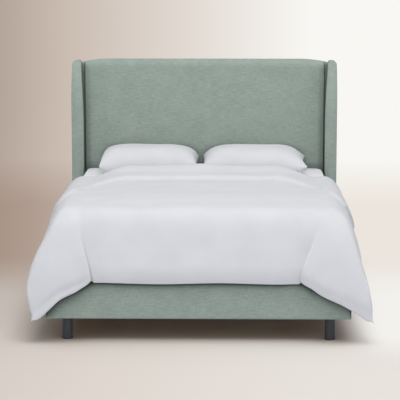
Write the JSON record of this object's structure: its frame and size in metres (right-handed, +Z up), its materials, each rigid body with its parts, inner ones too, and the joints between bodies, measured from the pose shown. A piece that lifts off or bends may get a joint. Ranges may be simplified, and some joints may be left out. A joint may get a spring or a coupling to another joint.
{
  "type": "upholstered wing bed",
  "caption": "Queen-size wingback bed with padded linen headboard, wings and low rails on round black legs, dressed with mattress, duvet and pillows.",
  "frame": {"origin": "on the floor, at the middle of the whole bed in plan", "axes": "+X to the right seen from the foot of the bed, +Y from the foot to the headboard, +Z up"},
  "size_m": [1.8456, 2.2796, 1.372],
  "materials": {
    "sage_linen": "plain linen-look weave, matt",
    "foam": "open-cell polyurethane foam",
    "pine": "planed softwood",
    "plywood": "sanded plywood",
    "back_cloth": "black dust cloth over board",
    "black_wood": "satin black stain",
    "black_steel": "black powder coat",
    "zinc_steel": "bright zinc",
    "black_nylon": "moulded",
    "ticking": "white ticking",
    "white_cotton": "washed cotton percale"
  },
  "bodies": {
    "bed_frame": {"side_rail_left_cover": "sage_linen", "side_rail_right_cover": "sage_linen", "foot_rail_cover": "sage_linen", "headboard_cover": "sage_linen", "wing_left_cover": "sage_linen", "wing_right_cover": "sage_linen", "side_rail_left_foam": "foam", "side_rail_right_foam": "foam", "foot_rail_foam": "foam", "headboard_foam": "foam", "wing_left_foam": "foam", "wing_right_foam": "foam", "side_rail_left_board": "pine", "side_rail_right_board": "pine", "foot_rail_board": "pine", "headboard_stile_left": "pine", "headboard_stile_right": "pine", "headboard_top_rail": "pine", "headboard_mid_rail": "pine", "headboard_bottom_rail": "pine", "corner_blocks": "pine", "slat_ledge_left": "pine", "slat_ledge_right": "pine", "slat_1": "pine", "slat_2": "pine", "slat_3": "pine", "slat_4": "pine", "slat_5": "pine", "support_post_1": "pine", "support_post_2": "pine", "support_post_3": "pine", "headboard_face_panel": "plywood", "wing_left_board": "plywood", "wing_right_board": "plywood", "headboard_back_panel": "back_cloth", "front_leg_left": "black_wood", "front_leg_right": "black_wood", "foot_corner_brackets": "black_steel", "head_brackets": "black_steel", "bracket_bolts": "zinc_steel", "threaded_inserts": "zinc_steel", "wing_screws": "zinc_steel", "slat_and_ledge_screws": "zinc_steel", "leg_plate_screws": "zinc_steel", "leg_plates": "zinc_steel", "leg_hanger_bolts": "zinc_steel", "tee_nuts": "zinc_steel", "floor_glides": "black_nylon"},
    "box_spring": {"box_spring": "ticking"},
    "mattress": {"mattress": "ticking", "fitted_sheet": "white_cotton"},
    "duvet": {"duvet": "white_cotton"},
    "pillow_left": {"pillow_left": "white_cotton"},
    "pillow_right": {"pillow_right": "white_cotton"},
    "levelling_pad_1": {"levelling_pad_1": "black_nylon"},
    "levelling_stem_1": {"levelling_stem_1": "zinc_steel"},
    "levelling_pad_2": {"levelling_pad_2": "black_nylon"},
    "levelling_stem_2": {"levelling_stem_2": "zinc_steel"},
    "levelling_pad_3": {"levelling_pad_3": "black_nylon"},
    "levelling_stem_3": {"levelling_stem_3": "zinc_steel"}
  },
  "joints": [
    {"name": "box_spring_lift", "type": "slide", "parent": "bed_frame", "child": "box_spring", "axis": [0, 0, 1], "range_m": [0, 0.35]},
    {"name": "mattress_lift", "type": "slide", "parent": "box_spring", "child": "mattress", "axis": [0, 0, 1], "range_m": [0, 0.35]},
    {"name": "duvet_lift", "type": "slide", "parent": "mattress", "child": "duvet", "axis": [0, 0, 1], "range_m": [0, 0.6]},
    {"name": "pillow_left_lift", "type": "slide", "parent": "mattress", "child": "pillow_left", "axis": [0, 0, 1], "range_m": [0, 0.75]},
    {"name": "pillow_right_lift", "type": "slide", "parent": "mattress", "child": "pillow_right", "axis": [0, 0, 1], "range_m": [0, 0.75]},
    {"name": "pad_rise_1", "type": "slide", "parent": "bed_frame", "child": "levelling_pad_1", "axis": [0, 0, 1], "range_m": [0, 0.015]},
    {"name": "stem_turn_1", "type": "hinge", "parent": "levelling_pad_1", "child": "levelling_stem_1", "pos_m": [0, -0.41563, 0.03], "axis": [0, 0, 1], "range_deg": [0, 4320]},
    {"name": "pad_rise_2", "type": "slide", "parent": "bed_frame", "child": "levelling_pad_2", "axis": [0, 0, 1], "range_m": [0, 0.015]},
    {"name": "stem_turn_2", "type": "hinge", "parent": "levelling_pad_2", "child": "levelling_stem_2", "pos_m": [0, 0.00925, 0.03], "axis": [0, 0, 1], "range_deg": [0, 4320]},
    {"name": "pad_rise_3", "type": "slide", "parent": "bed_frame", "child": "levelling_pad_3", "axis": [0, 0, 1], "range_m": [0, 0.015]},
    {"name": "stem_turn_3", "type": "hinge", "parent": "levelling_pad_3", "child": "levelling_stem_3", "pos_m": [0, 0.43412, 0.03], "axis": [0, 0, 1], "range_deg": [0, 4320]}
  ],
  "couplings": [
    {"joint": "stem_turn_1", "follows": "pad_rise_1", "rad_per_m": 5026.5},
    {"joint": "stem_turn_2", "follows": "pad_rise_2", "rad_per_m": 5026.5},
    {"joint": "stem_turn_3", "follows": "pad_rise_3", "rad_per_m": 5026.5}
  ]
}
